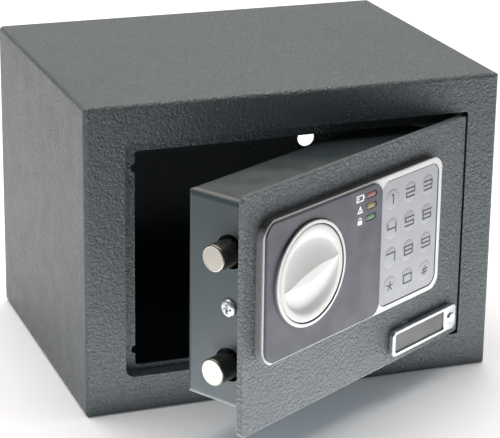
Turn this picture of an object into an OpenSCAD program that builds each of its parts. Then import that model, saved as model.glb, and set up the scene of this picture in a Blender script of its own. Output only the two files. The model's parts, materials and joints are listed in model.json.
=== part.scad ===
// In room safe: a small electronic steel safe for a hotel wardrobe.
// Millimetres. +Z is up and the door faces -Y. The origin is the centre of the face
// that the cabinet rests on. Door parts are drawn with the door shut and are then
// turned about the hinge by door_open_angle.

/* [Cabinet] */
// Outside width of the cabinet
case_w = 230; // [220:1:260]
// Outside height of the cabinet
case_h = 168; // [166:1:200]
// Outside depth of the cabinet
case_d = 176; // [150:1:260]
// Thickness of the cabinet's steel sheet
case_sheet = 1.2; // [1:0.1:1.2]
// Outside radius of the cabinet's folded edges
case_bend = 2.4; // [2:0.1:3]
// Depth of the step that the door sits in
recess_depth = 8.2; // [8:0.1:8.2]

/* [Door] */
// Width of the door plate
plate_w = 185; // [184:0.5:185]
// Height of the door plate
plate_h = 124; // [122:0.5:125]
// Thickness of the door plate
plate_t = 3; // [2.5:0.1:3]
// How far the shut door stands out from the cabinet's front
door_proud = 1.8; // [1.8:0.1:2.2]
// Angle that the door stands open at
door_open_angle = 30; // [0:5:80]
// Depth of the door from the plate's front to the back of its tray
door_depth = 46; // [45:0.5:50]
// Diameter of the two hinge pins
hinge_pin_d = 3.8; // [3:0.2:3.8]

/* [Locking] */
// Diameter of the locking bolts
bolt_d = 14; // [12:0.5:14.5]
// Distance between the two bolts
bolt_pitch = 59; // [58:0.5:60]
// How far the thrown bolts stand out of the tray
bolt_throw = 12.8; // [11:0.1:13]
// Angle that the knob turns through to draw the bolts
knob_swing = 80; // [60:5:80]

/* [Panel] */
// Width of the control panel
panel_w = 148.4; // [146:0.2:150]
// Height of the control panel
panel_h = 74.8; // [74:0.2:76]
// How far the control panel stands out from the door plate
panel_proud = 4.5; // [4.5:0.1:5]
// Outer diameter of the knob's ring
ring_d = 54.8; // [54:0.2:56]
// Distance between key columns
key_pitch_x = 15.6; // [15:0.1:16]
// Distance between key rows
key_pitch_z = 15.9; // [15:0.1:16]
// Diameter of a key
key_d = 11; // [10:0.1:11.6]

/* [Anchoring] */
// Distance between the two holes in the back
back_hole_pitch = 150; // [120:5:160]
// Distance between the two holes in the floor
floor_hole_pitch = 150; // [120:5:160]
// Diameter of the anchor holes
anchor_hole_d = 11; // [8:0.5:12]

/* [Hidden] */

$fn = 64;
eps = 0.01;          // overlap of a cut with the face it opens
run = 0.1;           // running clearance of a shaft in its hole
gap = 0.3;           // clearance between pieces that slide past each other

// Cabinet
front = -case_d / 2;                     // plane of the cabinet's front face
mouth_left = -93.7;                      // left side of the door opening
mouth_right = 97.55;                     // right side of the door opening
mouth_bottom = 20;
mouth_top = case_h - 20;
mouth_r = 5;
hinge_corner_r = 1.5;                    // the opening's corners beside the hinge
liner_t = 1;                             // sheet of the step around the opening
ledge_left = -86.2;                      // inner edge of the step, on the bolt side
ledge_bottom = 23;
ledge_top = case_h - 27;
notch_r = 2.2;                           // relief notches in the step's left edge
notch_inset = 9;
anchor_z = case_h / 2;

// Door, shut
plate_right = 94.35;
plate_left = plate_right - plate_w;
plate_bottom = (case_h - plate_h) / 2;
plate_front = front - door_proud;
plate_back = plate_front + plate_t;
plate_r = 3.5;
edge_r = 0.8;                            // rounding of the plate's front edges
hinge_x = plate_right - 2.25;
hinge_y = plate_front + plate_t + hinge_pin_d / 2 + 0.25;
tray_t = 1;
tray_left = plate_left + 12;
tray_right = 84;
tray_bottom = plate_bottom + 7.75;
tray_top = plate_bottom + plate_h - 7.75;
tray_back = plate_front + door_depth;
tray_inside = tray_back - tray_t;
tray_bend = 3.4;

// Bolts and their carriage
bolt_mid_z = plate_bottom + 60;
bolt_y = plate_front + 18.3;
bolt_zs = [bolt_mid_z - bolt_pitch / 2, bolt_mid_z + bolt_pitch / 2];
bolt_tip = tray_left - bolt_throw;
bolt_root = bolt_tip + 23.9;
bolt_travel = bolt_throw;
carriage_y = plate_front + 25.3;         // front face of the carriage's plate
carriage_t = 2;
carriage_right = -31;
flange_h = 16;
chassis_y = carriage_y + carriage_t + 1;
chassis_t = 1.5;
chassis_z = 36;
chassis_h = 93;
back_screw_xs = [-64, 0];
back_screw_zs = [40, 124];
knob_x = -46.4;
knob_z = 97.6;
crank_r = bolt_travel / (2 * sin(knob_swing / 2));
crank_pin_d = 4;
slot_side = 0.35;                        // the crank's arc strays this far from a straight line
crank_pin_x = knob_x - bolt_travel / 2;
crank_pin_z = knob_z + crank_r * cos(knob_swing / 2);
crank_y = plate_front + 19.8;
crank_t = 3;
post_x = -36;
post_zs = [54, 86];
post_d = 4;
tongue_z = 76;
tongue_h = 11;
plunger_x = -10;
plunger_d = 4;
plunger_travel = 4;
plunger_y = carriage_y + carriage_t / 2;
coil_bottom = 44;
coil_top = 66;

// Panel
panel_x = -81.1;                         // left edge of the panel
panel_z = 57;                            // bottom edge of the panel
panel_r = 9.5;
panel_front = plate_front - panel_proud;
fascia_w = 92.8;
fascia_t = 2.7;
fascia_front = panel_front - 1.2;
rim = 1.1;
sheet_x = 13.4;
sheet_z = 60.3;
sheet_w = 50.2;
sheet_h = 67.9;
sheet_r = 6.5;
sheet_front = panel_front + 0.3;
key_x0 = 23;
key_z0 = 117.8;
key_travel = 0.5;
key_proud = 0.35;
led_x = 2.8;
led_z0 = 125.8;
led_pitch = 6;
led_w = 9.2;
led_h = 3.4;
ring_r = ring_d / 2;
grip_r = 25;
ring_in = grip_r + 0.45;
ring_front = fascia_front - 1.6;
grip_front = ring_front - 0.2;           // front of the grip's rim
grip_t = 6.4;
grip_tilt = 12;                          // the grip's bar leans this far from level
board_y = plate_back + 2.6;
board_t = 1.6;
screw_spots = [[-72, 66], [-72, 122], [6, 66], [-14, 124]];

// Batteries
cell_d = 14.5;
cell_l = 50.5;
cell_x0 = 15.5;
cell_z0 = 54;
box_t = 1.2;
box_front = tray_back - 17.2;
cell_y = box_front + box_t + 0.2 + cell_d / 2;
cover_x = 12;
cover_w = 66;
cover_z = 50;
cover_h = 61;
cover_t = 2;
cover_y = tray_back + 3;                 // axis of the cover's hinge
reset_x = -40;
reset_z = 122;

// Emergency lock and badge
lock_x = 43;
lock_z = 37;
barrel_d = 10.6;
plug_d = 7;
badge_x = 28.8;
badge_w = 58;
badge_z = 27.5;
badge_h = 14.5;
badge_y = plate_front - 4.2;
badge_t = 2.6;
pivot_x = badge_x + badge_w - 5.5;
pivot_z = badge_z + badge_h / 2;

case_grey = "#6b7174";
paint_grey = "#6e767b";
tray_grey = "#53626d";
silver = "#d9dad8";
zinc = "#b9bab8";
dark_grey = "#62636c";
key_grey = "#bdbdc4";
brass = "#c2a14d";
black = "#1d1e20";

// ---- Helpers ----

// A rectangle with round corners, its lower left corner at the origin
module rounded(w, h, r) {
  union() {
    translate([r, 0]) square([w - 2 * r, h]);
    translate([0, r]) square([w, h - 2 * r]);
    for (x = [r, w - r], y = [r, h - r]) translate([x, y]) circle(r);
  }
}

// A plate that faces -Y, with its front face at y and round corners
module slab(x, y, z, w, t, h, r) {
  translate([x, y + t, z]) rotate([90, 0, 0]) linear_extrude(t) rounded(w, h, r);
}

// A plain block from its lowest corner
module block(x, y, z, w, t, h) {
  translate([x, y, z]) cube([w, t, h]);
}

// Round bars along Y, X and Z, each from its starting point
module rod_y(x, y, z, l, d) { translate([x, y, z]) rotate([-90, 0, 0]) cylinder(h = l, d = d); }
module rod_x(x, y, z, l, d) { translate([x, y, z]) rotate([0, 90, 0]) cylinder(h = l, d = d); }
module rod_z(x, y, z, l, d) { translate([x, y, z]) cylinder(h = l, d = d); }

// A box whose front edges and corners are round: r along Y, front_r at the front
module soft_front(x, y, z, w, t, h, r, front_r) {
  intersection() {
    slab(x, y, z, w, t, h, r);
    translate([x, y, z]) linear_extrude(h) {
      rounded(w, t, front_r);
      translate([0, front_r]) square([w, t - front_r]);
    }
    translate([x, y, z]) rotate([90, 0, 90]) linear_extrude(w) {
      rounded(t, h, front_r);
      translate([front_r, 0]) square([t - front_r, h]);
    }
  }
}

// The same box with the round edges at its back
module soft_back(x, y, z, w, t, h, r, back_r) {
  translate([0, 2 * y + t, 0]) mirror([0, 1, 0]) soft_front(x, y, z, w, t, h, r, back_r);
}

// Turns a shut door's piece to where the open door carries it
module on_door() {
  translate([hinge_x, hinge_y, 0]) rotate([0, 0, door_open_angle])
    translate([-hinge_x, -hinge_y, 0]) children();
}

// A pan-head screw along +Y with its head's underside at y
module pan_screw_y(x, y, z, l, d, head_d, head_h) {
  difference() {
    union() {
      rod_y(x, y, z, l, d);
      translate([x, y, z]) rotate([90, 0, 0]) cylinder(h = head_h, d1 = head_d, d2 = head_d * 0.72);
    }
    block(x - head_d * 0.3, y - head_h - eps, z - 0.5, head_d * 0.6, head_h * 0.6, 1);
    block(x - 0.5, y - head_h - eps, z - head_d * 0.3, 1, head_h * 0.6, head_d * 0.6);
  }
}

// ---- Cabinet ----

// Folded wrapper with its front face: top, floor, two sides and the door opening
module casing() {
  color(case_grey) difference() {
    soft_front(-case_w / 2, front, 0, case_w, case_d, case_h, case_bend, case_bend);
    block(-case_w / 2 + case_sheet, front + case_sheet, case_sheet,
          case_w - 2 * case_sheet, case_d, case_h - 2 * case_sheet);
    slab(mouth_left, front - 1, mouth_bottom, mouth_right - mouth_left, 4,
         mouth_top - mouth_bottom, mouth_r);
    slab(mouth_left + 2 * mouth_r, front - 1, mouth_bottom, mouth_right - mouth_left - 2 * mouth_r,
         4, mouth_top - mouth_bottom, hinge_corner_r);
    for (x = [-1, 1]) rod_z(x * floor_hole_pitch / 2, 0, -1, 4, anchor_hole_d);
  }
}

// Rear sheet, welded between the wrapper's edges
module back_panel() {
  color(case_grey) difference() {
    block(-case_w / 2 + case_sheet, case_d / 2 - case_sheet, case_sheet,
          case_w - 2 * case_sheet, case_sheet, case_h - 2 * case_sheet);
    for (x = [-1, 1]) rod_y(x * back_hole_pitch / 2, case_d / 2 - 4, anchor_z, 6, anchor_hole_d);
  }
}

// The step around the opening: its walls and the narrow ledge behind the door plate
module door_frame() {
  wall_y = front + case_sheet;
  ledge_y = front + recess_depth + liner_t;
  color(case_grey) difference() {
    slab(mouth_left - liner_t, wall_y, mouth_bottom - liner_t,
         mouth_right - mouth_left + liner_t + 3, ledge_y - wall_y,
         mouth_top - mouth_bottom + 2 * liner_t, mouth_r + liner_t);
    slab(mouth_left, wall_y - 1, mouth_bottom, mouth_right - mouth_left + 20,
         ledge_y - liner_t - wall_y + 1, mouth_top - mouth_bottom, mouth_r);
    slab(ledge_left, wall_y - 1, ledge_bottom, 250, 20, ledge_top - ledge_bottom, 2);
    for (z = [ledge_bottom + notch_inset, ledge_top - notch_inset])
      rod_y(ledge_left, wall_y, z, 20, 2 * notch_r);
    for (z = [mouth_bottom - liner_t - 1, mouth_top - 1])
      rod_z(hinge_x, hinge_y, z, liner_t + 2, hinge_pin_d + 3);
  }
}

// Two flanged bushes, welded into the step, that the hinge pins turn in
module hinge_bushes() {
  flange = 0.9;
  color(zinc) for (top = [0, 1]) {
    z = top ? mouth_top : mouth_bottom - liner_t - flange;
    difference() {
      union() {
        rod_z(hinge_x, hinge_y, top ? z : z + flange, liner_t, hinge_pin_d + 3);
        rod_z(hinge_x, hinge_y, top ? z + liner_t : z, flange, hinge_pin_d + 5);
      }
      rod_z(hinge_x, hinge_y, z - 1, 6, hinge_pin_d + 2 * run);
      block(hinge_x - 10, front + case_sheet - 10, z - 1, 20, 10, 6);
    }
  }
}

// ---- Door shell ----

// Thick front plate with its openings for the spindle, the keys, the lamps and the lock
module door_plate() {
  on_door() color(paint_grey) difference() {
    soft_front(plate_left, plate_front, plate_bottom, plate_w, plate_t, plate_h, plate_r, edge_r);
    rod_y(knob_x, plate_front - 1, knob_z, 6, 12);
    slab(16, plate_front - 1, 63, 45.5, 6, 62.5, 3);
    slab(-4, plate_front - 1, 110, 13, 6, 19, 2);
    rod_y(lock_x, plate_front - 1, lock_z, 6, barrel_d);
    rod_y(pivot_x, plate_front - 1, pivot_z, 6, 3);
    for (s = screw_spots) rod_y(s[0], plate_front - 1, s[1], 6, 3);
  }
}

// Folded steel tray that closes the back of the door
module door_tray() {
  depth = tray_back - plate_back;
  w = tray_right - tray_left;
  h = tray_top - tray_bottom;
  on_door() color(tray_grey) difference() {
    soft_back(tray_left, plate_back, tray_bottom, w, depth, h, tray_bend, tray_bend);
    soft_back(tray_left + tray_t, plate_back - tray_t, tray_bottom + tray_t,
              w - 2 * tray_t, depth, h - 2 * tray_t, tray_bend - tray_t, tray_bend - tray_t);
    for (z = bolt_zs) rod_x(tray_left - 1, bolt_y, z, 4, bolt_d + 3.5);
    rod_x(tray_left - 1, bolt_y, bolt_mid_z + 0.5, 4, 4);
    for (z = [60, 108]) rod_x(tray_right - 3, bolt_y, z, 4, 4);
    slab(cell_x0 - 1, tray_back - 3, cell_z0 - 1.5, 4 * cell_d + 3, 6, cell_l + 5, 2);
    rod_y(reset_x, tray_back - 3, reset_z, 6, 9);
    for (x = back_screw_xs, z = back_screw_zs) rod_y(x, tray_back - 3, z, 6, 3.2);
  }
}

// Two folded brackets, welded behind the plate, that carry the hinge pins
module hinge_brackets() {
  h = 9;
  on_door() color(tray_grey) for (z = [plate_bottom + 1, plate_bottom + plate_h - 1 - h])
    difference() {
      union() {
        block(tray_right, plate_back, z, hinge_x - tray_right, hinge_pin_d + 0.8, h);
        rod_z(hinge_x, plate_back + hinge_pin_d / 2 + 0.3, z, h, hinge_pin_d + 0.6);
      }
      rod_z(hinge_x, hinge_y, z - 1, h + 2, hinge_pin_d);
      block(tray_right - 1, plate_back - 3, z - 1, 30, 3, h + 2);
    }
}

// The two hinge pins
module hinge_pins() {
  stand = 2 + liner_t;
  on_door() color(case_grey) {
    rod_z(hinge_x, hinge_y, plate_bottom - stand, 10 + stand, hinge_pin_d);
    rod_z(hinge_x, hinge_y, plate_bottom + plate_h - 10, 10 + stand, hinge_pin_d);
  }
}

// One screw between the bolts, two on the hinge side and four in the back of the tray
module tray_screws() {
  on_door() color(zinc) {
    translate([tray_left, bolt_y, bolt_mid_z + 0.5]) rotate([0, 0, -90])
      pan_screw_y(0, 0, 0, 5, 4, 9.4, 2.4);
    for (z = [60, 108]) translate([tray_right, bolt_y, z]) rotate([0, 0, 90])
      pan_screw_y(0, 0, 0, 5, 4, 8, 2.2);
    for (x = back_screw_xs, z = back_screw_zs) translate([x, tray_back, z]) rotate([0, 0, 180])
      pan_screw_y(0, 0, 0, tray_back - chassis_y, 3.2, 6.4, 1.8);
  }
}

// ---- Control panel ----

// Silver moulding that frames the fascia and the keypad
module panel_bezel() {
  on_door() color(silver) difference() {
    soft_front(panel_x, panel_front, panel_z, panel_w, panel_proud, panel_h, panel_r, 1);
    slab(panel_x + rim, panel_front - 1, panel_z + rim, fascia_w + gap,
         1 + fascia_t - 1.2, panel_h - 2 * rim, panel_r - rim);
    slab(sheet_x - 0.35, panel_front - 1, sheet_z - 0.35, sheet_w + 0.7, 2.8,
         sheet_h + 0.7, sheet_r);
    rod_y(knob_x, panel_front, knob_z, 8, 2 * ring_in);
    slab(16, panel_front - 1, 63, 45.5, 8, 62.5, 3);
    slab(-4, panel_front - 1, 110, 13, 8, 19, 2);
    for (s = screw_spots) rod_y(s[0], panel_front + 2, s[1], 8, 3);
  }
}

// Raised dark insert around the knob and the lamps
module fascia() {
  on_door() color(dark_grey) difference() {
    soft_front(panel_x + rim, fascia_front, panel_z + rim, fascia_w, fascia_t,
               panel_h - 2 * rim, panel_r - rim, 0.8);
    rod_y(knob_x, fascia_front - 1, knob_z, 6, 2 * ring_in + 1.6);
    for (i = [0:2]) slab(led_x - led_w / 2, fascia_front - 1, led_z0 - i * led_pitch - led_h / 2,
                         led_w, 6, led_h, led_h / 2 - eps);
  }
}

// Light keypad sheet with a round opening for each key
module keypad_sheet() {
  on_door() color(key_grey) difference() {
    soft_front(sheet_x, sheet_front, sheet_z, sheet_w, 1.5, sheet_h, sheet_r - 0.3, 0.4);
    for (col = [0:2], row = [0:3])
      rod_y(key_x0 + col * key_pitch_x, sheet_front - 1, key_z0 - row * key_pitch_z, 4,
            key_d + 2 * run);
    slab(0, sheet_front - 1, panel_z, panel_x + rim + fascia_w + gap, 4, panel_h, 2);
  }
}

// Fixed ring around the knob, with a sleeve that drops into the fascia
module knob_ring() {
  on_door() color(silver) translate([knob_x, fascia_front, knob_z]) rotate([90, 0, 0])
    rotate_extrude() union() {
      translate([ring_in, 0]) square([ring_r - ring_in - 0.8, fascia_front - ring_front]);
      translate([ring_in, 0]) square([ring_r - ring_in, fascia_front - ring_front - 0.8]);
      translate([ring_r - 0.8, fascia_front - ring_front - 0.8]) circle(0.8);
      translate([ring_in, -fascia_t]) square([0.8, fascia_t + 0.5]);
    }
}

// A lamp: a clear bar in the fascia with its lens, i counts from the top
module led(i, tint) {
  on_door() color(tint) {
    slab(led_x - led_w / 2 + 0.05, fascia_front + 0.5, led_z0 - i * led_pitch - led_h / 2 + 0.05,
         led_w - 0.1, fascia_t - 0.5, led_h - 0.1, led_h / 2 - 0.1);
    rod_y(led_x, fascia_front + fascia_t, led_z0 - i * led_pitch,
          board_y - fascia_front - fascia_t, 3);
  }
}

module led_red() { led(0, "#b3352c"); }
module led_yellow() { led(1, "#c3b43c"); }
module led_green() { led(2, "#4c8a50"); }

// A key cap and its stem, counted from the top left
module key(col, row) {
  x = key_x0 + col * key_pitch_x;
  z = key_z0 - row * key_pitch_z;
  cap_front = sheet_front - key_proud;
  on_door() color(key_grey) translate([x, cap_front, z]) rotate([-90, 0, 0]) rotate_extrude() {
    translate([0, 0.3]) square([key_d / 2, 1.5]);
    square([key_d / 2 - 0.3, 1]);
    translate([0, 1]) square([1.5, plate_back - 2.4 - cap_front]);
  }
}

module key_1() { key(0, 0); }
module key_2() { key(1, 0); }
module key_3() { key(2, 0); }
module key_4() { key(0, 1); }
module key_5() { key(1, 1); }
module key_6() { key(2, 1); }
module key_7() { key(0, 2); }
module key_8() { key(1, 2); }
module key_9() { key(2, 2); }
module key_star() { key(0, 3); }
module key_0() { key(1, 3); }
module key_hash() { key(2, 3); }

// Circuit board behind the plate
module circuit_board() {
  on_door() color("#2f6b3c") slab(-8, board_y, 60, 74, board_t, 71, 1);
}

// Twelve small switches under the keys
module key_switches() {
  on_door() color(black) for (col = [0:2], row = [0:3]) {
    x = key_x0 + col * key_pitch_x;
    z = key_z0 - row * key_pitch_z;
    block(x - 3, board_y - 2, z - 3, 6, 2, 6);
    rod_y(x, board_y - 2.8, z, 0.8, 3);
  }
}

// Sounder on the back of the board
module buzzer() {
  on_door() color(black) difference() {
    rod_y(-1, board_y + board_t, 68, 6.5, 12);
    rod_y(-1, board_y + board_t + 5.5, 68, 2, 2.4);
  }
}

// Four screws that hold the panel through the plate
module panel_screws() {
  on_door() color(zinc) for (s = screw_spots)
    translate([s[0], plate_back, s[1]]) rotate([0, 0, 180])
      pan_screw_y(0, 0, 0, plate_t + panel_proud - 2, 3, 5.6, 1.6);
}

// ---- Knob and bolt work ----

// Finger grip: a dished disc with a lens-shaped bar across it
module knob_grip() {
  well = 4.2;                            // depth of the dish
  dish_r = grip_r - 3.2;
  bar_half = 5.5;                        // half the bar's width at its middle
  bar_r = 66;                            // radius of the bar's sides
  bar_h = grip_t + 1.4;
  on_door() color(silver) translate([knob_x, grip_front + grip_t, knob_z])
    rotate([0, -grip_tilt, 0]) rotate([90, 0, 0]) union() {
      difference() {
        cylinder(h = grip_t, r = grip_r);
        translate([0, 0, grip_t - well]) cylinder(h = well + 1, r = dish_r);
      }
      intersection() {
        cylinder(h = bar_h, r = dish_r + 1.8);
        translate([0, bar_r - bar_half, 0]) cylinder(h = bar_h, r = bar_r, $fn = 200);
        translate([0, bar_half - bar_r, 0]) cylinder(h = bar_h, r = bar_r, $fn = 200);
      }
    }
}

// Spindle from the grip to the crank
module knob_spindle() {
  start = grip_front + grip_t;
  on_door() color(zinc) rod_y(knob_x, start, knob_z, crank_y - start, 8);
}

// Crank on the inner end of the spindle, with the pin that drives the carriage
module crank_arm() {
  on_door() color(zinc) translate([knob_x, crank_y, knob_z]) rotate([0, -knob_swing / 2, 0]) {
    rod_y(0, 0, 0, crank_t, 14);
    rod_y(0, 0, crank_r, crank_t, 8);
    block(-4, 0, 0, 8, crank_t, crank_r);
    rod_y(0, crank_t, crank_r, carriage_y + carriage_t - crank_y - crank_t, crank_pin_d);
  }
}

// Fixed sheet behind the carriage, with a side ear for the screw between the bolts
module lock_chassis() {
  ear_y = bolt_y - 6;
  left = tray_left + tray_t;
  on_door() color(zinc) difference() {
    union() {
      slab(left, chassis_y, chassis_z, 8 - left, chassis_t, chassis_h, 1);
      block(left, ear_y, bolt_mid_z - 12, chassis_t, chassis_y - ear_y + chassis_t, 24);
    }
    rod_x(left - 1, bolt_y, bolt_mid_z + 0.5, 4, 4);
    slab(plunger_x - 8.3, chassis_y - 1, coil_bottom - 3, 16.6, 4, tongue_z - coil_bottom + 6, 1);
    for (z = post_zs) rod_y(post_x, chassis_y - 1, z, 4, post_d);
    for (x = back_screw_xs, z = back_screw_zs) rod_y(x, chassis_y - 1, z, 4, 3.2);
  }
}

// Shouldered posts that the carriage slides on, and the spacers that hold the chassis
module guide_posts() {
  on_door() color(zinc) {
    for (z = post_zs) {
      rod_y(post_x, carriage_y - 0.4, z, chassis_y + chassis_t - carriage_y + 0.4, post_d);
      rod_y(post_x, carriage_y - 1.9, z, 1.5, post_d + 4);
    }
    for (x = [-52, -26], z = [39.5, 125]) rod_y(x, plate_back, z, chassis_y - plate_back, 5);
  }
}

// Sliding plate that carries both bolts
module bolt_carriage() {
  left = bolt_root;
  on_door() color(zinc) difference() {
    union() {
      block(left, carriage_y, bolt_zs[0] - 8, carriage_right - left, carriage_t, bolt_pitch + 16);
      block(carriage_right - 1, carriage_y, tongue_z, 29, carriage_t, tongue_h);
      for (z = bolt_zs)
        block(left, bolt_y - bolt_d / 2, z - flange_h / 2, carriage_t,
              carriage_y - bolt_y + bolt_d / 2 + eps, flange_h);
    }
    slab(crank_pin_x - crank_pin_d / 2 - slot_side, carriage_y - 1, crank_pin_z - 3,
         crank_pin_d + 2 * slot_side, 4, crank_r * (1 - cos(knob_swing / 2)) + 6, 2.3);
    for (z = post_zs)
      slab(post_x - bolt_travel - post_d / 2 - gap, carriage_y - 1, z - post_d / 2 - run,
           bolt_travel + post_d + 2 * gap, 4, post_d + 2 * run, post_d / 2);
    for (x = [plunger_x, plunger_x - bolt_travel])
      block(x - plunger_d / 2 - gap, carriage_y - 1, tongue_z - 1, plunger_d + 2 * gap, 4, 6.5);
    for (z = bolt_zs) rod_x(left - 1, bolt_y, z, 5, 6);
  }
}

// Two round bolts, chamfered at the tip, each riveted to the carriage
module locking_bolts() {
  chamfer = 1.1;
  on_door() color("#d6cdc4") for (z = bolt_zs)
    translate([bolt_tip, bolt_y, z]) rotate([0, 90, 0]) {
      cylinder(h = chamfer, d1 = bolt_d - 2 * chamfer, d2 = bolt_d);
      translate([0, 0, chamfer]) cylinder(h = bolt_root - bolt_tip - chamfer, d = bolt_d);
      translate([0, 0, bolt_root - bolt_tip]) cylinder(h = carriage_t, d = 6);
      translate([0, 0, bolt_root - bolt_tip + carriage_t]) cylinder(h = 1.4, d1 = 9, d2 = 6);
    }
}

// ---- Electric lock ----

// Bent steel frame of the solenoid, with the foot that is fixed to the chassis
module solenoid_frame() {
  w = 15;
  on_door() color(zinc) difference() {
    union() {
      block(plunger_x - w / 2, plunger_y - 7, coil_bottom - 1.2, w, 14, coil_top - coil_bottom + 2.4);
      block(plunger_x - 12, chassis_y + chassis_t, coil_bottom - 1.2, 24, 1.2, 25);
    }
    block(plunger_x - w, plunger_y - 6.5, coil_bottom, 2 * w, 30, coil_top - coil_bottom);
    rod_z(plunger_x, plunger_y, coil_bottom - 3, 40, plunger_d + 2 * run);
  }
}

// Wound coil
module solenoid_coil() {
  on_door() color("#a5552b") difference() {
    rod_z(plunger_x, plunger_y, coil_bottom, coil_top - coil_bottom, 12.4);
    rod_z(plunger_x, plunger_y, coil_bottom - 1, 40, plunger_d + 2 * run);
  }
}

// Locking plunger, drawn in
module solenoid_plunger() {
  on_door() color(zinc) {
    rod_z(plunger_x, plunger_y, coil_bottom + 2, tongue_z - 1 - coil_bottom - 2, plunger_d);
    rod_z(plunger_x, plunger_y, coil_top + 2.6, 1, plunger_d + 2.4);
  }
}

// Points around a wire of radius wire_r at the angle a of a coil
function coil_ring(a, coil_r, wire_r, pitch, sides) =
  [for (k = [0:sides - 1]) let (b = 360 * k / sides, r = coil_r + wire_r * cos(b))
    [r * cos(a), r * sin(a), pitch * a / 360 + wire_r * sin(b)]];

// A coil spring about Z that starts at the origin
module spring(coil_r, wire_r, pitch, turns) {
  sides = 8;
  per_turn = 16;
  n = turns * per_turn;
  points = [for (i = [0:n]) each coil_ring(360 * i / per_turn, coil_r, wire_r, pitch, sides)];
  walls = [for (i = [0:n - 1], k = [0:sides - 1]) let (k2 = (k + 1) % sides)
    [i * sides + k, i * sides + k2, (i + 1) * sides + k2, (i + 1) * sides + k]];
  polyhedron(points = points, convexity = 8,
             faces = concat([[for (k = [sides - 1:-1:0]) k]], walls,
                            [[for (k = [0:sides - 1]) n * sides + k]]));
}

// Spring between the frame and the plunger's collar
module plunger_spring() {
  on_door() color("silver") translate([plunger_x, plunger_y, coil_top + 1.45])
    mirror([0, 1, 0]) spring(2.65, 0.2, 0.35, 2);
}

// ---- Batteries ----

// Open plastic box for four cells
module battery_box() {
  w = 4 * cell_d + 0.6;
  h = cell_l + 2.4;
  on_door() color(black) difference() {
    block(cell_x0 - box_t, box_front, cell_z0 - box_t, w + 2 * box_t,
          tray_inside - box_front, h + 2 * box_t);
    block(cell_x0, box_front + box_t, cell_z0, w, 30, h);
  }
}

// Four AA cells
module battery_cells() {
  on_door() color("#3c5a8c") for (i = [0:3]) {
    x = cell_x0 + 0.3 + cell_d * (i + 0.5);
    up = i % 2;
    rod_z(x, cell_y, cell_z0 + 1.4 + (up ? 0 : 1), cell_l - 1, cell_d - 0.3);
    rod_z(x, cell_y, cell_z0 + 1.4 + (up ? cell_l - 1 : 0), 1, 5.5);
  }
}

// Sheet contacts at both ends of the cells
module battery_contacts() {
  on_door() color(zinc) for (z = [cell_z0, cell_z0 + cell_l + 1.7], i = [0:3])
    block(cell_x0 + 0.3 + cell_d * i + 2, cell_y - 5, z, cell_d - 4, 9, 0.7);
}

// Plastic surround on the back of the tray with the ears of the cover's hinge
module battery_frame() {
  on_door() color(black) difference() {
    union() {
      slab(cover_x - 3.5, tray_back, cover_z - 4.5, cover_w + 7, 1, cover_h + 9, 3);
      for (x = [cover_x - 3.5, cover_x + cover_w + 0.3]) {
        block(x, tray_back, cover_z - 1.9, 3.2, cover_y - tray_back, 3.8);
        rod_x(x, cover_y, cover_z, 3.2, 3.8);
      }
    }
    slab(cell_x0 - 1, tray_back - 3, cell_z0 - 1.5, 4 * cell_d + 3, 6, cell_l + 5, 2);
    rod_x(cover_x - 4, cover_y, cover_z, cover_w + 9, 2);
  }
}

// Cover that swings down on two stub pins
module battery_cover() {
  y = tray_back + 1.3;
  on_door() color(black) difference() {
    union() {
      slab(cover_x, y, cover_z, cover_w, cover_t, cover_h, 1.5);
      rod_x(cover_x, cover_y, cover_z, cover_w, 3.4);
      rod_x(cover_x - 2.8, cover_y, cover_z, cover_w + 5.6, 1.8);
      slab(cover_x + cover_w / 2 - 9, y + cover_t - eps, cover_z + cover_h - 9, 18, 1, 6, 2);
    }
    for (i = [0:5])
      slab(cover_x + cover_w / 2 - 18, y + cover_t - 0.5, cover_z + 12 + 5 * i, 36, 1, 1.6, 0.7);
  }
}

// Code reset button: a stem through the back of the tray, with its collar inside
module reset_button() {
  stem_r = 3.6;
  collar_r = 5.2;
  inside = 4;
  on_door() color("#a53a30") translate([reset_x, tray_back - inside, reset_z])
    rotate([-90, 0, 0]) union() {
      cylinder(h = inside + 1.6, r = stem_r);
      cylinder(h = 1.4, r = collar_r);
    }
}

// ---- Emergency lock and badge ----

// Fixed barrel of the emergency lock
module lock_barrel() {
  on_door() color(silver) difference() {
    union() {
      rod_y(lock_x, plate_front - 0.9, lock_z, 0.9, barrel_d + 1.8);
      rod_y(lock_x, plate_front, lock_z, 18, barrel_d);
    }
    rod_y(lock_x, plate_front - 2, lock_z, 30, plug_d + 2 * run);
  }
}

// Turning plug with its keyway
module key_plug() {
  on_door() color(brass) difference() {
    rod_y(lock_x, plate_front - 0.9, lock_z, 19.1, plug_d);
    block(lock_x - 0.7, plate_front - 2, lock_z - 2.4, 1.4, 14, 4.8);
  }
}

// Cam on the inner end of the plug
module lock_cam() {
  on_door() color(zinc) union() {
    rod_y(lock_x, plate_front + 18.2, lock_z, 1.6, 11);
    block(lock_x - 4, plate_front + 18.2, lock_z, 8, 1.6, 16);
  }
}

// Blank badge plate that swings down to uncover the lock
module badge() {
  on_door() color(silver) difference() {
    soft_front(badge_x, badge_y, badge_z, badge_w, badge_t, badge_h, 3, 0.7);
    slab(badge_x + 1.8, badge_y - 1, badge_z + 1.8, badge_w - 12.6, 1.8, badge_h - 3.6, 1.6);
    rod_y(pivot_x, badge_y - 1, pivot_z, 6, 3 + 2 * run);
  }
}

// Rivet that the badge swings on, with the washer behind it
module badge_pivot() {
  on_door() color(zinc) {
    rod_y(pivot_x, badge_y - 0.2, pivot_z, plate_back - badge_y + 0.2, 3);
    translate([pivot_x, badge_y - 0.2, pivot_z]) rotate([90, 0, 0]) cylinder(h = 0.9, d1 = 6, d2 = 4.4);
    rod_y(pivot_x, badge_y + badge_t + 0.2, pivot_z, plate_front - badge_y - badge_t - 0.2, 7);
  }
}

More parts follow.
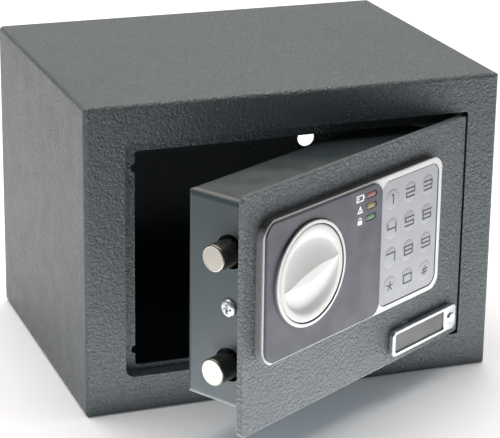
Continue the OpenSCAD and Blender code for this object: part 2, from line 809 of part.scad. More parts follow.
// Leads from the battery box and the solenoid to the board
module wiring() {
  board_back = board_y + board_t;
  on_door() color("#8c2f2a") {
    rod_y(11, board_back, 104, tray_inside - 6 - board_back, 1.8);
    rod_y(11, board_back, 108, tray_inside - 6 - board_back, 1.8);
  }
}

casing();
back_panel();
door_frame();
hinge_bushes();
door_plate();
door_tray();
hinge_brackets();
hinge_pins();
tray_screws();
panel_bezel();
fascia();
keypad_sheet();
knob_ring();
led_red();
led_yellow();
led_green();
key_1();
key_2();
key_3();
key_4();
key_5();
key_6();
key_7();
key_8();
key_9();
key_star();
key_0();
key_hash();
circuit_board();
key_switches();
buzzer();
panel_screws();
knob_grip();
knob_spindle();
crank_arm();
lock_chassis();
guide_posts();
bolt_carriage();
locking_bolts();
solenoid_frame();
solenoid_coil();
solenoid_plunger();
plunger_spring();
battery_box();
battery_cells();
battery_contacts();
battery_frame();
battery_cover();
reset_button();
lock_barrel();
key_plug();
lock_cam();
badge();
badge_pivot();
wiring();
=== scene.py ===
import json
import math

import bmesh
import bpy
from mathutils import Matrix, Vector


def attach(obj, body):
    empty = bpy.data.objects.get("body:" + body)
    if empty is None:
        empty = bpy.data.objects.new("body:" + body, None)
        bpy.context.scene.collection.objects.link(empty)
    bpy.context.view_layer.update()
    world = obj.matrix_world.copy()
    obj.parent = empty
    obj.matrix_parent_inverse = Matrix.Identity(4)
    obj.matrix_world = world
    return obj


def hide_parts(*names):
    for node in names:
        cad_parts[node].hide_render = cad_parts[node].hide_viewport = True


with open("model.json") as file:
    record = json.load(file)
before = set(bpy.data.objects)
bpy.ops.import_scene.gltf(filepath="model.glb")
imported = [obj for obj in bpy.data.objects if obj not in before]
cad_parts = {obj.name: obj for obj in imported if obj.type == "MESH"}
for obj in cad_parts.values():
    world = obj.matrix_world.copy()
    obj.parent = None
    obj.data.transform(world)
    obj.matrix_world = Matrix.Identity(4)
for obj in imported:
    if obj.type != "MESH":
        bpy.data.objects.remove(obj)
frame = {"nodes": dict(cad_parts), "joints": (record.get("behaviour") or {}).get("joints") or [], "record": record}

MM = 0.001
UP = Vector((0, 0, 1))
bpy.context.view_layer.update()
nodes = frame["nodes"]
slot_of = {p["node"]: p["material_slot"] for p in frame["record"]["subparts"]}
axis_of = {j["name"]: Vector(j["axis"]) for j in frame["joints"]}
pin_of = {j["name"]: Vector(j["pos_m"]) for j in frame["joints"] if "pos_m" in j}


# ---------------------------------------------------------------- places

# The door stands open, so its pieces are built in the door's own axes: X towards the
# hinge, Y into the safe, Z up, with the hinge pin's foot as the origin.
INTO = axis_of["press_1"]
ACROSS = INTO.cross(UP)
HINGE = Vector((pin_of["door_hinge"].x, pin_of["door_hinge"].y, 0))
DOOR = Matrix.Translation(HINGE) @ Matrix((ACROSS, INTO, UP)).transposed().to_4x4()
DOOR_TURN = math.atan2(ACROSS.y, ACROSS.x)


def door_box(node):
    """Lowest and highest corner of a CAD node along the door's own axes."""
    back = DOOR.inverted()
    points = [back @ v.co for v in nodes[node].data.vertices]
    return (Vector(min(p[i] for p in points) for i in range(3)),
            Vector(max(p[i] for p in points) for i in range(3)))


def middle(corners):
    return (corners[0] + corners[1]) / 2


# ---------------------------------------------------------------- camera, stage and light

CAMERA_AT = Vector((-0.3749, -1.0256, 0.4538))
CAMERA_AZIMUTH = math.radians(21.26)
CAMERA_DIP = math.radians(18.16)
CAMERA_ROLL = math.radians(1.08)
CAMERA_LENS = 146.7
CAMERA_SHIFT = (-0.0588, -0.0904)


def make_camera():
    data = bpy.data.cameras.new("camera")
    data.lens = CAMERA_LENS
    data.shift_x, data.shift_y = CAMERA_SHIFT
    data.clip_start, data.clip_end = 0.05, 30
    ahead = Vector((math.sin(CAMERA_AZIMUTH) * math.cos(CAMERA_DIP),
                    math.cos(CAMERA_AZIMUTH) * math.cos(CAMERA_DIP), -math.sin(CAMERA_DIP)))
    level = ahead.cross(UP).normalized()
    right = level * math.cos(CAMERA_ROLL) + level.cross(ahead) * math.sin(CAMERA_ROLL)
    turn = Matrix((right, right.cross(ahead), -ahead)).transposed()
    camera = bpy.data.objects.new("camera", data)
    camera.matrix_world = Matrix.Translation(CAMERA_AT) @ turn.to_4x4()
    bpy.context.scene.collection.objects.link(camera)
    bpy.context.scene.camera = camera


def soft_light(name, at, aim, size, power, colour=(1, 1, 1)):
    """A soft box, left out of the camera's own sight."""
    data = bpy.data.lights.new(name, "AREA")
    data.shape = "RECTANGLE"
    data.size, data.size_y = size
    data.energy = power
    data.color = colour
    light = bpy.data.objects.new(name, data)
    light.location = at
    light.rotation_euler = (Vector(aim) - Vector(at)).to_track_quat("-Z", "Y").to_euler()
    light.visible_camera = False
    bpy.context.scene.collection.objects.link(light)


ROOM_COLOUR = (0.95, 0.975, 1, 1)
ROOM_FADE = (-0.6, 0.3)        # how far ahead, as a share, the room goes from dim to light
ROOM_LIGHT = (0.14, 0.44)      # its strength behind the camera and ahead of it
RANGE_SOCKETS = ("From Min", "From Max", "To Min", "To Max")


def make_room():
    """Light walls all round, apart from a dim one where the photographer stands."""
    world = bpy.data.worlds.new("room")
    world.use_nodes = True
    tree = world.node_tree
    background = tree.nodes["Background"]
    direction = tree.nodes.new("ShaderNodeTexCoord").outputs["Generated"]
    split = tree.nodes.new("ShaderNodeSeparateXYZ")
    tree.links.new(direction, split.inputs[0])
    depth = tree.nodes.new("ShaderNodeMapRange")
    for key, number in zip(RANGE_SOCKETS, ROOM_FADE + ROOM_LIGHT):
        depth.inputs[key].default_value = number
    tree.links.new(split.outputs["Y"], depth.inputs["Value"])
    tree.links.new(depth.outputs[0], background.inputs["Strength"])
    background.inputs["Color"].default_value = ROOM_COLOUR
    bpy.context.scene.world = world


def make_lights():
    """One large box above, and two strips lying just above the floor."""
    soft_light("overhead", (0.0, 0.40, 1.3), (0, 0.15, 0), (1.8, 1.8), 34, (1, 0.925, 0.865))
    soft_light("bright_floor", (0.10, -0.24, 0.001), (0.10, -0.24, 1), (0.7, 0.28), 1.48)
    soft_light("left_floor", (-0.33, 0.0, 0.001), (-0.33, 0.0, 1), (0.3, 0.5), 0.06)


def make_floor():
    half = 4.0
    mesh = bpy.data.meshes.new("floor")
    corners = [(-half, -half, 0), (half, -half, 0), (half, half, 0), (-half, half, 0)]
    mesh.from_pydata(corners, [], [(0, 1, 2, 3)])
    floor = bpy.data.objects.new("floor", mesh)
    bpy.context.scene.collection.objects.link(floor)
    paper = Surface("floor_paper", (0.93, 0.955, 0.985), rough=0.7)
    paper.vary(scale=6, amount=0.02)
    paper.shader.inputs["Emission Color"].default_value = (0.95, 0.98, 1, 1)
    paper.shader.inputs["Emission Strength"].default_value = 0.07
    floor.data.materials.append(paper.material)


# ---------------------------------------------------------------- materials

# Places of the colour sockets on a Mix node, whose names repeat for each data type.
MIX_FACTOR, MIX_UNDER, MIX_OVER, MIX_RESULT = 0, 6, 7, 2


class Surface:
    """A Principled material and the layers that are added to it: colour, roughness, relief."""

    def __init__(self, name, colour, rough=0.5, metal=0.0, coat=0.0, turned=False):
        self.material = bpy.data.materials.new(name)
        self.material.use_nodes = True
        self.tree = self.material.node_tree
        self.shader = self.tree.nodes["Principled BSDF"]
        self.shader.inputs["Base Color"].default_value = (*colour, 1)
        self.shader.inputs["Roughness"].default_value = rough
        self.shader.inputs["Metallic"].default_value = metal
        self.shader.inputs["Coat Weight"].default_value = coat
        self.colour, self.rough = colour, rough
        self.tint = None
        self.normal = None
        self.place = self.add("ShaderNodeTexCoord").outputs["Object"]
        if turned:
            mapping = self.add("ShaderNodeMapping", Vector=self.place)
            mapping.inputs["Rotation"].default_value = (0, 0, -DOOR_TURN)
            self.place = mapping.outputs[0]

    def add(self, kind, options=None, **inputs):
        """A node of that kind, with its options set and its inputs linked or given a value."""
        made = self.tree.nodes.new(kind)
        for key, value in (options or {}).items():
            setattr(made, key, value)
        for key, value in inputs.items():
            socket = made.inputs[key.replace("_", " ")]
            if isinstance(value, bpy.types.NodeSocket):
                self.tree.links.new(value, socket)
            else:
                socket.default_value = value
        return made

    def link(self, output, socket):
        self.tree.links.new(output, socket)

    def noise(self, scale, detail=2.0, stretch=(1, 1, 1), distortion=0.0):
        place = self.place
        if stretch != (1, 1, 1):
            mapping = self.add("ShaderNodeMapping", Vector=place)
            mapping.inputs["Scale"].default_value = stretch
            place = mapping.outputs[0]
        return self.add("ShaderNodeTexNoise", Vector=place, Scale=scale, Detail=detail,
                        Distortion=distortion).outputs["Fac"]

    def ramp(self, value, low, high, out_low=0.0, out_high=1.0):
        made = self.add("ShaderNodeMapRange", {"interpolation_type": "SMOOTHSTEP"}, Value=value)
        for key, number in zip(RANGE_SOCKETS, (low, high, out_low, out_high)):
            made.inputs[key].default_value = number
        return made.outputs["Result"]

    def mix(self, factor, colour):
        """Lays a colour over what is there, by factor."""
        made = self.add("ShaderNodeMix", {"data_type": "RGBA"})
        self.link(factor, made.inputs[MIX_FACTOR])
        if self.tint is None:
            made.inputs[MIX_UNDER].default_value = (*self.colour, 1)
        else:
            self.link(self.tint, made.inputs[MIX_UNDER])
        made.inputs[MIX_OVER].default_value = (*colour, 1)
        self.tint = made.outputs[MIX_RESULT]
        self.link(self.tint, self.shader.inputs["Base Color"])

    def vary(self, scale, amount, detail=3.0):
        """Slow changes of tone, darker and lighter by that share."""
        cloud = self.noise(scale, detail)
        self.mix(self.ramp(cloud, 0.35, 0.75), [c * (1 - amount) for c in self.colour])
        self.mix(self.ramp(cloud, 0.6, 0.3), [min(1, c * (1 + amount)) for c in self.colour])

    def gloss(self, scale, spread, stretch=(1, 1, 1)):
        """Roughness that wanders by that much on both sides of its value."""
        value = self.ramp(self.noise(scale, 3, stretch), 0.3, 0.7,
                          self.rough - spread, self.rough + spread)
        self.link(value, self.shader.inputs["Roughness"])

    def relief(self, height, depth):
        """Bumps of that depth in metres."""
        bump = self.add("ShaderNodeBump", Height=height, Distance=depth)
        if self.normal is not None:
            self.link(self.normal, bump.inputs["Normal"])
        self.normal = bump.outputs["Normal"]
        self.link(self.normal, self.shader.inputs["Normal"])

    def painted_light_by_facing(self, direction, colour, low=0.35, high=0.75):
        """Painted light and shade: another colour where the surface faces that way at rest. It turns with the
        piece.
        """
        true = self.add("ShaderNodeTexCoord").outputs["Normal"]
        match = self.add("ShaderNodeVectorMath", {"operation": "DOT_PRODUCT"})
        self.link(true, match.inputs[0])
        match.inputs[1].default_value = direction
        self.mix(self.ramp(match.outputs["Value"], low, high), colour)

    def edge_wear_and_highlight(self, width, colour, share=0.6):
        """A lighter tone along the edges: partly rubbed paint, partly a painted highlight."""
        bevel = self.add("ShaderNodeBevel", {"samples": 4}, Radius=width)
        true = self.add("ShaderNodeNewGeometry").outputs["Normal"]
        match = self.add("ShaderNodeVectorMath", {"operation": "DOT_PRODUCT"})
        self.link(bevel.outputs[0], match.inputs[0])
        self.link(true, match.inputs[1])
        edge = self.ramp(match.outputs["Value"], 0.995, 0.9)
        patchy = self.ramp(self.noise(220, 3), 0.35, 0.6, share * 0.4, share)
        both = self.add("ShaderNodeMath", {"operation": "MULTIPLY"})
        self.link(edge, both.inputs[0])
        self.link(patchy, both.inputs[1])
        self.mix(both.outputs[0], colour)


def hammered(name, colour, depth=0.0013):
    """Grey powder paint with a hammered skin: soft lumps one to two millimetres across."""
    made = Surface(name, colour, rough=0.35)
    made.vary(scale=7, amount=0.03)
    made.gloss(scale=60, spread=0.03)
    made.relief(made.noise(620, 2.5, distortion=0.8), depth)
    made.relief(made.noise(2200, 1), depth * 0.1)
    # Lighter edges: partly rubbed paint, partly a painted highlight.
    made.edge_wear_and_highlight(0.0012, [min(1, c * 1.7 + 0.02) for c in colour], 0.5)
    return made


def satin(name, colour, rough=0.38, metal=0.0):
    """Smooth paint or plastic with a faint skin and lighter edges, partly rubbed and partly a painted highlight.
    """
    made = Surface(name, colour, rough, metal, turned=True)
    made.vary(scale=14, amount=0.03)
    made.gloss(scale=90, spread=0.05)
    made.relief(made.noise(2600, 1), 0.000012)
    # Lighter edges: partly rubbed, partly a painted highlight.
    made.edge_wear_and_highlight(0.0008, [min(1, c * 1.35 + 0.03) for c in colour], 0.5)
    return made


def brushed(name, colour, rough=0.3, along=(1, 1, 12)):
    """Plated steel with fine scratches in one direction."""
    made = Surface(name, colour, rough, metal=1.0, turned=True)
    made.vary(scale=40, amount=0.10)
    made.gloss(scale=300, spread=0.08, stretch=along)
    made.relief(made.noise(900, 2, stretch=along), 0.00001)
    return made


def tray(name):
    """Smooth blue-grey enamel, with painted shade: darker where it faces up."""
    made = satin(name, (0.033, 0.051, 0.062))
    # Painted shade on the faces that point up.
    made.painted_light_by_facing(UP, (0.022, 0.033, 0.036))
    return made


def bolt(name):
    """Nickel plate, coloured dark along the bolt as painted shade and light on its end as a painted reflection."""
    # The dark base colour is painted shade on the bolt's sides.
    made = brushed(name, (0.16, 0.155, 0.13), 0.3)
    # Painted reflection: the end face is coloured lighter.
    made.painted_light_by_facing(-ACROSS, (0.42, 0.40, 0.36), 0.8, 0.95)
    return made


def bezel(name):
    """Silver moulding with painted light and shade: pale on its front as a painted highlight, darker and glossier
    down its sides as painted shade, darkest on its top as a painted shadow.
    """
    made = Surface(name, (0.19, 0.195, 0.198), rough=0.3, turned=True)
    made.gloss(scale=90, spread=0.04)
    # Painted shadow on the top, which faces up.
    made.painted_light_by_facing(UP, (0.03, 0.031, 0.032))
    # Painted highlight on the front.
    made.painted_light_by_facing(-INTO, (0.54, 0.55, 0.548), 0.55, 0.9)
    made.relief(made.noise(2600, 1), 0.000008)
    return made


PAINT = (0.060, 0.074, 0.081)
DOOR_PAINT = (0.089, 0.103, 0.112)

# The slots of the record and the extra looks: how each is made, and from what.
FINISHES = {
    "case_paint": (hammered, PAINT),
    "door_paint": (hammered, DOOR_PAINT, 0.0018),
    "tray_paint": (tray,),
    "silver_plastic": (bezel,),
    "fascia_plastic": (satin, (0.042, 0.046, 0.063), 0.5),
    "keypad_plastic": (satin, (0.300, 0.310, 0.340), 0.45),
    "lens_red": (satin, (0.20, 0.018, 0.014), 0.3),
    "lens_yellow": (satin, (0.20, 0.17, 0.025), 0.3),
    "lens_green": (satin, (0.022, 0.11, 0.035), 0.3),
    "zinc_steel": (brushed, (0.62, 0.63, 0.64)),
    "nickel": (bolt,),
    "chrome": (brushed, (0.75, 0.76, 0.77), 0.16),
    "lock_brass": (brushed, (0.66, 0.50, 0.22)),
    "board": (satin, (0.03, 0.13, 0.06), 0.4),
    "black_plastic": (satin, (0.018, 0.018, 0.02), 0.42),
    "coil_copper": (brushed, (0.60, 0.26, 0.12), 0.35),
    "cell_wrap": (satin, (0.05, 0.09, 0.20), 0.3),
    "button_red": (satin, (0.40, 0.04, 0.03), 0.4),
    "lens_dark": (satin, (0.022, 0.022, 0.028), 0.3),
    "cable": (satin, (0.20, 0.02, 0.02), 0.5),
    "knob_silver": (satin, (0.63, 0.64, 0.63), 0.65),
    "print_grey": (satin, (0.035, 0.037, 0.045), 0.6),
    "print_white": (satin, (0.85, 0.85, 0.85), 0.5),
    "badge_frame": (brushed, (0.42, 0.43, 0.44), 0.34),
    "badge_field": (satin, (0.03, 0.034, 0.036), 0.35),
}


def dress(obj, surface):
    obj.data.materials.clear()
    obj.data.materials.append(surface.material)


def dress_cad():
    """Makes every look and gives each CAD node the one of its slot."""
    surfaces = {name: make(name, *details) for name, (make, *details) in FINISHES.items()}
    for name, obj in nodes.items():
        dress(obj, surfaces[slot_of[name]])
    return surfaces


# ---------------------------------------------------------------- meshes

# Shapes are drawn in millimetres as seen from the front: X right, Y up, Z out towards the
# viewer. One of these matrices then puts them on the door.

def seen_along(at, out):
    """From a shape's own millimetres to the door's axes: its Z looks along out, Y stays up."""
    out = Vector(out)
    right = UP.cross(out)
    turn = Matrix((right, out.cross(right), out)).transposed().to_4x4()
    return Matrix.Translation(at) @ turn @ Matrix.Scale(MM, 4)


FRONT = (0, -1, 0)
BOLT_SIDE = (-1, 0, 0)


def ring_loop(outline, z):
    return [(x, y, z) for x, y in outline]


def join(mesh, low, high):
    """A band of quads between two closed rings of as many vertices."""
    made = []
    for i in range(len(low)):
        j = (i + 1) % len(low)
        made.append(mesh.faces.new((low[i], low[j], high[j], high[i])))
    return made


def loft(loops, closed_end=True):
    """Joins loops of equal length with quads; the ends are closed with one face each."""
    mesh = bmesh.new()
    rows = [[mesh.verts.new(p) for p in loop] for loop in loops]
    for low, high in zip(rows, rows[1:]):
        join(mesh, low, high)
    mesh.faces.new(rows[0][::-1])
    if closed_end:
        mesh.faces.new(rows[-1])
    return mesh


def circle(radius, count=64):
    angles = [2 * math.pi * i / count for i in range(count)]
    return [(radius * math.cos(angle), radius * math.sin(angle)) for angle in angles]


def lathed(profile, count=64):
    """A turned part from (radius, z) points, from its back to its front."""
    return loft([ring_loop(circle(max(r, 0.01), count), z) for r, z in profile])


def rounded(width, height, radius, steps=8):
    """A rectangle with round corners about the origin, anticlockwise."""
    points = []
    for i, (sx, sy) in enumerate(((1, 1), (-1, 1), (-1, -1), (1, -1))):
        for k in range(steps + 1):
            angle = math.radians(90 * i + 90 * k / steps)
            points.append((sx * (width / 2 - radius) + radius * math.cos(angle),
                           sy * (height / 2 - radius) + radius * math.sin(angle)))
    return points


def arc(steps, radius, inset=0.0, rise=0.0):
    """(inset, rise) steps round a quarter circle, from a wall up to a flat top."""
    return [(inset + radius * (1 - math.cos(math.radians(90 * k / steps))),
             rise + radius * math.sin(math.radians(90 * k / steps))) for k in range(steps + 1)]


def piece(name, mesh, place, body, surfaces, replaces=(), sharp=35):
    """Makes the object on the door, smooth but for edges sharper than that angle."""
    mesh.transform(DOOR @ place)
    bmesh.ops.remove_doubles(mesh, verts=mesh.verts, dist=1e-7)
    bmesh.ops.recalc_face_normals(mesh, faces=mesh.faces)
    for face in mesh.faces:
        face.smooth = True
    for edge in mesh.edges:
        edge.smooth = edge.calc_face_angle(0) < math.radians(sharp)
    data = bpy.data.meshes.new(name)
    mesh.to_mesh(data)
    mesh.free()
    made = bpy.data.objects.new(name, data)
    bpy.context.scene.collection.objects.link(made)
    for surface in surfaces:
        data.materials.append(surface.material)
    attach(made, body)
    if replaces:
        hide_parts(*replaces)
    return made


# ---------------------------------------------------------------- knob

KNOB_TILT = math.radians(12)
KNOB_RIM = 3.3                 # width of the rim around the two wells
KNOB_WELL = 3.2                # depth of the wells
KNOB_ARCH = 1.4                # the bar's middle stands this far above the rim
KNOB_TOP = 2.9                 # half the width of the bar's flat top
KNOB_TURN = 0.74               # share of the way to the rim where a well is deepest
KNOB_STEPS = (0.015, 0.04, 0.1, 0.2, 0.3, 0.4, 0.5, 0.58, 0.65, 0.71, 0.77, 0.82, 0.87,
              0.91, 0.95, 0.98)


def knob_columns(u, inner):
    """(v, height) points across the knob at u along its bar, from one rim to the other."""
    share = min(1.0, abs(u) / inner)
    chord = math.sqrt(max(0.0, inner ** 2 - u ** 2))
    top = KNOB_TOP * max(0.02, 1 - (share * 1.16) ** 2.2) if share < 0.86 else KNOB_TOP * 0.02
    top = min(top, chord * 0.9)
    crown = KNOB_ARCH * (1 - share ** 2)
    depth = KNOB_WELL * (1 - share ** 2) ** 0.55
    side = []
    for t in KNOB_STEPS:
        if t < KNOB_TURN:
            fall = math.sin(math.pi / 2 * t / KNOB_TURN) ** 0.9
            height = crown - 0.12 - (crown + depth) * fall
        else:
            climb = (1 - math.cos(math.pi * (t - KNOB_TURN) / (1 - KNOB_TURN))) / 2
            height = -depth + (depth - 0.12) * climb
        side.append((top + (chord - top) * t, height))
    flat = [(top * k / 4, crown - 0.10 * (k / 4) ** 4) for k in range(-4, 5)]
    left = [(-v, h) for v, h in reversed(side)]
    return [(-chord, -0.1)] + left + flat + side + [(chord, -0.1)]


def make_knob():
    low, high = door_box("knob_grip")
    ring = door_box("knob_ring")
    radius = (high.z - low.z) / 2 / MM
    inner = radius - KNOB_RIM
    rows = 72
    mesh = bmesh.new()
    grid = []
    for i in range(rows + 1):
        u = -inner * math.cos(math.pi * i / rows)
        grid.append([mesh.verts.new((u, v, h)) for v, h in knob_columns(u, inner)])
    for here, there in zip(grid, grid[1:]):
        for a, b, c, d in zip(here, there, there[1:], here[1:]):
            mesh.faces.new((a, b, c, d))
    edge = [row[0] for row in grid] + [row[-1] for row in reversed(grid[1:-1])]
    rim = ((0.35, 0.0), (KNOB_RIM - 0.9, 0.0), (KNOB_RIM - 0.5, -0.1), (KNOB_RIM - 0.15, -0.4),
           (KNOB_RIM, -0.9), (KNOB_RIM, -6.2))
    before = edge
    for out, height in rim:
        after = []
        for vert in edge:
            grown = Vector((vert.co.x, vert.co.y, 0)).normalized() * (inner + out)
            after.append(mesh.verts.new((grown.x, grown.y, height)))
        join(mesh, before, after)
        before = after
    mesh.faces.new(before)
    mesh.transform(Matrix.Rotation(KNOB_TILT, 4, "Z"))
    centre = middle(ring)
    front = Vector((centre.x, ring[0].y + 0.2 * MM, centre.z))
    return piece("knob_handle", mesh, seen_along(front, FRONT), "knob",
                 [surfaces["knob_silver"]], ["knob_grip"], sharp=28)


# ---------------------------------------------------------------- keys and symbols

GLYPHS = {
    "2": ("###", "  #", "###", "#  ", "###"),
    "3": ("###", "  #", "###", "  #", "###"),
    "4": ("# #", "# #", "###", "  #", "  #"),
    "5": ("###", "#  ", "###", "  #", "###"),
    "6": ("###", "#  ", "###", "# #", "###"),
    "7": ("###", "  #", "  #", "  #", "  #"),
    "8": ("###", "# #", "###", "# #", "###"),
    "9": ("###", "# #", "###", "  #", "###"),
    "0": ("###", "# #", "# #", "# #", "###"),
    "hash": (" # # ", "#####", " # # ", "#####", " # # "),
    "battery": ("####### ", "#     # ", "# #   ##", "#     # ", "####### "),
}
GLYPH_WIDTH, GLYPH_HEIGHT, STROKE = 7.8, 5.4, 0.85
PRINT = 0.03                   # thickness of printed marks


def cells(mesh, rows, xs, ys, z, lean=0.0, mark=0):
    """Thin solid of the filled cells of a grid whose lines are at xs and ys, from the top."""
    corner = {}

    def vert(i, j):
        if (i, j) not in corner:
            corner[i, j] = mesh.verts.new((xs[i] + lean * ys[j], ys[j], z))
        return corner[i, j]

    faces = []
    for j, row in enumerate(rows):
        for i, cell in enumerate(row):
            if cell == "#":
                corners = (vert(i, j + 1), vert(i + 1, j + 1), vert(i + 1, j), vert(i, j))
                faces.append(mesh.faces.new(corners))
    raised(mesh, faces, mark)


def raised(mesh, faces, mark):
    """Thickens flat faces by the print's height."""
    sides = bmesh.ops.extrude_face_region(mesh, geom=faces)["geom"]
    tops = [g for g in sides if isinstance(g, bmesh.types.BMVert)]
    bmesh.ops.translate(mesh, verts=tops, vec=(0, 0, PRINT))
    for item in faces + [g for g in sides if isinstance(g, bmesh.types.BMFace)]:
        item.material_index = mark
    for vert in tops:
        for face in vert.link_faces:
            face.material_index = mark


def polygon(mesh, points, z, mark=0):
    raised(mesh, [mesh.faces.new([mesh.verts.new((x, y, z)) for x, y in points])], mark)


def block(mesh, left, bottom, right, top, z):
    polygon(mesh, [(left, bottom), (right, bottom), (right, top), (left, top)], z)


def spread(total, weights):
    """Grid lines centred on zero whose spaces follow the weights."""
    lines, at = [-total / 2], -total / 2
    for weight in weights:
        at += total * weight / sum(weights)
        lines.append(at)
    return lines


def star(arms, reach, half):
    """Outline of crossed bars with that many arms."""
    points = []
    notch = half / math.sin(math.pi / arms)
    for k in range(arms):
        angle = math.pi / 2 + 2 * math.pi * k / arms
        along = Vector((math.cos(angle), math.sin(angle)))
        beside = Vector((-along.y, along.x))
        bend = angle + math.pi / arms
        points += [along * reach - beside * half, along * reach + beside * half,
                   Vector((math.cos(bend), math.sin(bend))) * notch]
    return points


def draw_digit(mesh, key, z, mark):
    gap = (GLYPH_HEIGHT - 3 * STROKE) / 2
    ys = spread(GLYPH_HEIGHT, (STROKE, gap, STROKE, gap, STROKE))[::-1]
    if key == "star":
        polygon(mesh, star(5, 2.9, 0.36), z, mark)
    elif key == "hash":
        lines = spread(5.4, (1.3, 0.6, 0.8, 0.6, 1.3))
        cells(mesh, GLYPHS["hash"], lines, lines[::-1], z, 0.18, mark)
    elif key == "1":
        cells(mesh, ("##", " #", " #", " #", " #"), spread(1.9, (1.1, STROKE)), ys, z, 0, mark)
    else:
        xs = spread(GLYPH_WIDTH, (STROKE, GLYPH_WIDTH - 2 * STROKE, STROKE))
        cells(mesh, GLYPHS[key], xs, ys, z, 0, mark)


KEYS = ("1", "2", "3", "4", "5", "6", "7", "8", "9", "star", "0", "hash")
CROWN_PROUD = 0.35             # how proud of the sheet the crown's heights below are drawn


def make_keys():
    sheet_front = door_box("keypad_sheet")[0].y
    for key in KEYS:
        node = "key_" + key
        low, high = door_box(node)
        centre = middle((low, high))
        proud = (sheet_front - low.y) / MM
        radius = (high.z - low.z) / 2 / MM + 0.06
        profile = ((1.5, -5), (1.5, -1.4), (radius, -1.4), (radius, -0.04),
                   (radius - 0.1, 0.03),
                   (radius - 0.7, 0.12 * proud / CROWN_PROUD),
                   (radius - 1.4, 0.22 * proud / CROWN_PROUD),
                   (radius - 2.1, 0.26 * proud / CROWN_PROUD),
                   (radius - 3, 0.27 * proud / CROWN_PROUD))
        mesh = lathed(profile)
        draw_digit(mesh, key, 0.28 * proud / CROWN_PROUD, 1)
        piece(node + "_cap", mesh, seen_along((centre.x, sheet_front, centre.z), FRONT),
              "button_" + key,
              [surfaces["keypad_plastic"], surfaces["print_grey"]], [node], sharp=50)


def padlock(mesh, x, y, size, z):
    """An open padlock: its body and a shackle that is free on one side."""
    body = 0.5 * size
    block(mesh, x - body, y - body, x + body, y + 0.1 * size, z)
    outer, inner, lift = 0.36 * size, 0.22 * size, 0.22 * size
    curve = [math.radians(180 - 180 * k / 10) for k in range(11)]
    points = [(x - outer, y + 0.1 * size + 0.01)]
    points += [(x + outer * math.cos(a), y + lift + outer * math.sin(a)) for a in curve]
    points += [(x + inner * math.cos(a), y + lift + inner * math.sin(a))
               for a in reversed(curve)]
    points += [(x - inner, y + 0.1 * size + 0.01)]
    polygon(mesh, points, z)


def warning_sign(mesh, x, y, size, z):
    """A triangle outline with a bar and a dot in it."""
    outside, inside = (
        [mesh.verts.new((x + reach * math.cos(a), y + reach * math.sin(a), z))
         for a in (math.pi / 2, math.pi * 7 / 6, math.pi * 11 / 6)]
        for reach in (size, size * 0.54))
    raised(mesh, [mesh.faces.new((outside[i], outside[i - 2], inside[i - 2], inside[i]))
                  for i in range(3)], 0)
    bar = 0.09 * size
    block(mesh, x - bar, y - 0.02 * size, x + bar, y + 0.38 * size, z)
    block(mesh, x - bar, y - 0.22 * size, x + bar, y - 0.1 * size, z)


def make_symbols():
    """White signs to the left of the lamps: battery, warning and open."""
    face = door_box("fascia")[0].y
    mesh = bmesh.new()
    places = [middle(door_box(node)) / MM for node in ("led_red", "led_yellow", "led_green")]
    x = (door_box("led_red")[0].x / MM) - 4.8
    xs = [x + line for line in spread(6.6, (0.5, 0.5, 0.7, 0.5, 0.9, 0.9, 0.5, 0.5))]
    ys = [places[0].z + line for line in spread(3.5, (0.5, 0.5, 1.0, 0.5, 0.5))][::-1]
    cells(mesh, GLYPHS["battery"], xs, ys, 0)
    warning_sign(mesh, x, places[1].z - 0.5, 2.7, 0)
    padlock(mesh, x, places[2].z - 0.2, 3.6, 0)
    return piece("panel_symbols", mesh, seen_along((0, face - 0.004 * MM, 0), FRONT), "door",
                 [surfaces["print_white"]])


LAMP_HEIGHT = 3.3
LAMP_LIT = 0.27                # half of the tinted middle, as a share of the lens's width


def make_lamps():
    """Long oval lenses, slightly sunk in the fascia, with dark ends."""
    face = door_box("fascia")[0].y
    for tint in ("red", "yellow", "green"):
        low, high = door_box("led_" + tint)
        width, height = (high.x - low.x) / MM, LAMP_HEIGHT
        centre = middle((low, high))
        loops = [(0, -1.6)] + [(inset, rise - 0.75) for inset, rise in arc(4, 0.55)]
        loops += [(1.1, -0.14), (1.5, -0.12)]
        mesh = loft([ring_loop(rounded(width - 2 * i, height - 2 * i, height / 2 - i - 0.01), z)
                     for i, z in loops])
        lit = LAMP_LIT * width
        for side in (-lit, lit):
            bmesh.ops.bisect_plane(mesh, geom=mesh.verts[:] + mesh.edges[:] + mesh.faces[:],
                                   plane_co=(side, 0, 0), plane_no=(1, 0, 0))
        for part in mesh.faces:
            part.material_index = int(abs(part.calc_center_median().x) > lit)
        piece("lamp_" + tint, mesh, seen_along((centre.x, face, centre.z), FRONT), "door",
              [surfaces["lens_" + tint], surfaces["lens_dark"]],
              ["led_" + tint])


# ---------------------------------------------------------------- badge, bolts and screws

BADGE_CORNER = 3.0
BADGE_RIVET_END = 12.6         # bright metal beside the field, both ends together
BADGE_RIM = 3.6                # and above and below it


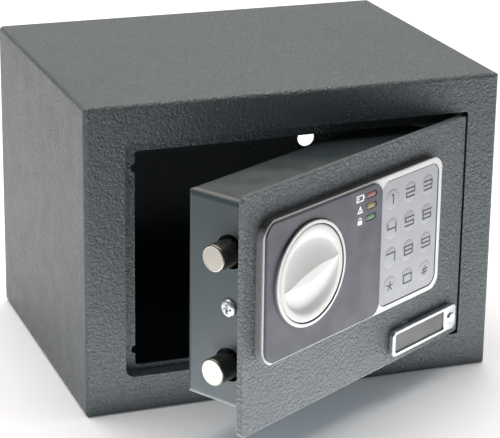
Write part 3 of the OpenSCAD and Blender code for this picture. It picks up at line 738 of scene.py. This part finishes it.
def make_badge():
    """A blank name plate: a bright frame around a dark sunk field, beside its rivet."""
    low, high = door_box("badge")
    width, height, thick = ((high - low) / MM).xzy
    back = seen_along((middle((low, high)).x, high.y, middle((low, high)).z), FRONT)
    loops = [(0, 0.0), (0, thick - 0.7)] + [(i, z) for i, z in arc(5, 0.7, 0, thick - 0.7)][1:]
    mesh = loft([ring_loop(rounded(width - 2 * i, height - 2 * i, BADGE_CORNER - i), z)
                 for i, z in loops], closed_end=False)
    outer = [v for v in mesh.verts if abs(v.co.z - thick) < 1e-6]
    field_w, field_h = width - BADGE_RIVET_END, height - BADGE_RIM
    shift = -(BADGE_RIVET_END - BADGE_RIM) / 2
    # The field's inset, its height, and the material of the band that leads to it.
    sunk = [(0, thick, 0), (0.35, thick - 0.35, 0), (0.4, thick - 0.9, 0),
            (0.7, thick - 0.9, 1)]
    field = [[mesh.verts.new((x + shift, y, z)) for x, y in
              rounded(field_w - 2 * i, field_h - 2 * i, 1.6 - i)] for i, z, _ in sunk]
    for (low_ring, high_ring), (_, _, mark) in zip(zip(field, field[1:]), sunk[1:]):
        for side in join(mesh, low_ring, high_ring):
            side.material_index = mark
    mesh.faces.new(field[-1]).material_index = 1
    join(mesh, outer, field[0])
    return piece("blank_badge", mesh, back, "badge_plate",
                 [surfaces["badge_frame"], surfaces["badge_field"]], ["badge"])


def make_bolts():
    low, high = door_box("locking_bolts")
    radius = (high.y - low.y) / 2 / MM
    length = (high.x - low.x) / MM
    profile = [(radius, -length), (radius, -1.3)]
    profile += [(radius - i, z) for i, z in arc(6, 1.0, 0, -1.0)][1:]
    profile += [(radius - 1.15, -0.06), (radius - 1.35, -0.06), (radius - 2.5, -0.02)]
    for name, z in (("lower_bolt", low.z + radius * MM), ("upper_bolt", high.z - radius * MM)):
        tip = (low.x, (low.y + high.y) / 2, z)
        stands_for = ["locking_bolts"] if name == "lower_bolt" else []
        piece(name, lathed(profile, 72), seen_along(tip, BOLT_SIDE), "bolts",
              [surfaces["nickel"]], stands_for, sharp=40)


def cross_depth(x, y, reach, half, deep):
    """How far a cross recess is cut at that point of a screw's head."""
    x, y = abs(x), abs(y)
    along, beside = max(x, y), min(x, y)
    wall = min(1.0, max(0.0, (half - beside) / (0.35 * half)))
    end = min(1.0, max(0.0, (reach - along) / (0.45 * reach)))
    return deep * wall * end


def screw_head(radius, height):
    """A pan head with a cross recess, as rings of points with their heights."""
    mesh = bmesh.new()
    count, steps = 72, 22
    rings = [[mesh.verts.new((x, y, -0.2)) for x, y in circle(radius, count)]]
    for k in range(steps):
        share = 1 - (k / steps) ** 1.3
        ring = []
        for x, y in circle(radius * share, count):
            dome = height * (1 - share ** 3.2) ** 0.5 * 0.92 + 0.08 * height
            cut = cross_depth(x, y, 0.62 * radius, 0.19 * radius, 0.75 * height)
            ring.append(mesh.verts.new((x, y, dome - cut)))
        rings.append(ring)
    for low, high in zip(rings, rings[1:]):
        join(mesh, low, high)
    mesh.faces.new(rings[-1])
    mesh.faces.new(rings[0][::-1])
    return mesh


def loose_parts(node):
    """The corners of each separate solid of a CAD node, along the door's axes."""
    mesh = bmesh.new()
    mesh.from_mesh(nodes[node].data)
    bmesh.ops.remove_doubles(mesh, verts=mesh.verts, dist=1e-6)
    back = DOOR.inverted()
    left, parts = set(mesh.verts), []
    for start in mesh.verts:
        if start not in left:
            continue
        left.discard(start)
        reach, points = [start], []
        while reach:
            vert = reach.pop()
            points.append(back @ vert.co)
            for edge in vert.link_edges:
                other = edge.other_vert(vert)
                if other in left:
                    left.discard(other)
                    reach.append(other)
        parts.append((Vector(min(p[k] for p in points) for k in range(3)),
                      Vector(max(p[k] for p in points) for k in range(3))))
    mesh.free()
    return parts


def make_screws():
    """Heads of the screws that hold the tray; their shanks are hidden inside the door."""
    tray = door_box("door_tray")
    centre = middle(tray)
    for number, part in enumerate(loose_parts("tray_screws")):
        size = part[1] - part[0]
        axis = 0 if abs(size.y - size.z) < 0.1 * MM else 1
        sign = 1 if middle(part)[axis] > centre[axis] else -1
        seat = middle(part)
        seat[axis] = tray[1][axis] if sign > 0 else tray[0][axis]
        out = [0, 0, 0]
        out[axis] = sign
        radius = size.z / 2 / MM
        piece("tray_screw_%d" % (number + 1), screw_head(radius, 0.5 * radius),
              seen_along(seat, out), "door", [surfaces["zinc_steel"]],
              ["tray_screws"] if number == 0 else [], sharp=40)


# ---------------------------------------------------------------- whole

bpy.context.scene.view_settings.view_transform = "Standard"
make_camera()
make_room()
make_floor()
make_lights()
surfaces = dress_cad()
make_knob()
make_keys()
make_symbols()
make_lamps()
make_badge()
make_bolts()
make_screws()
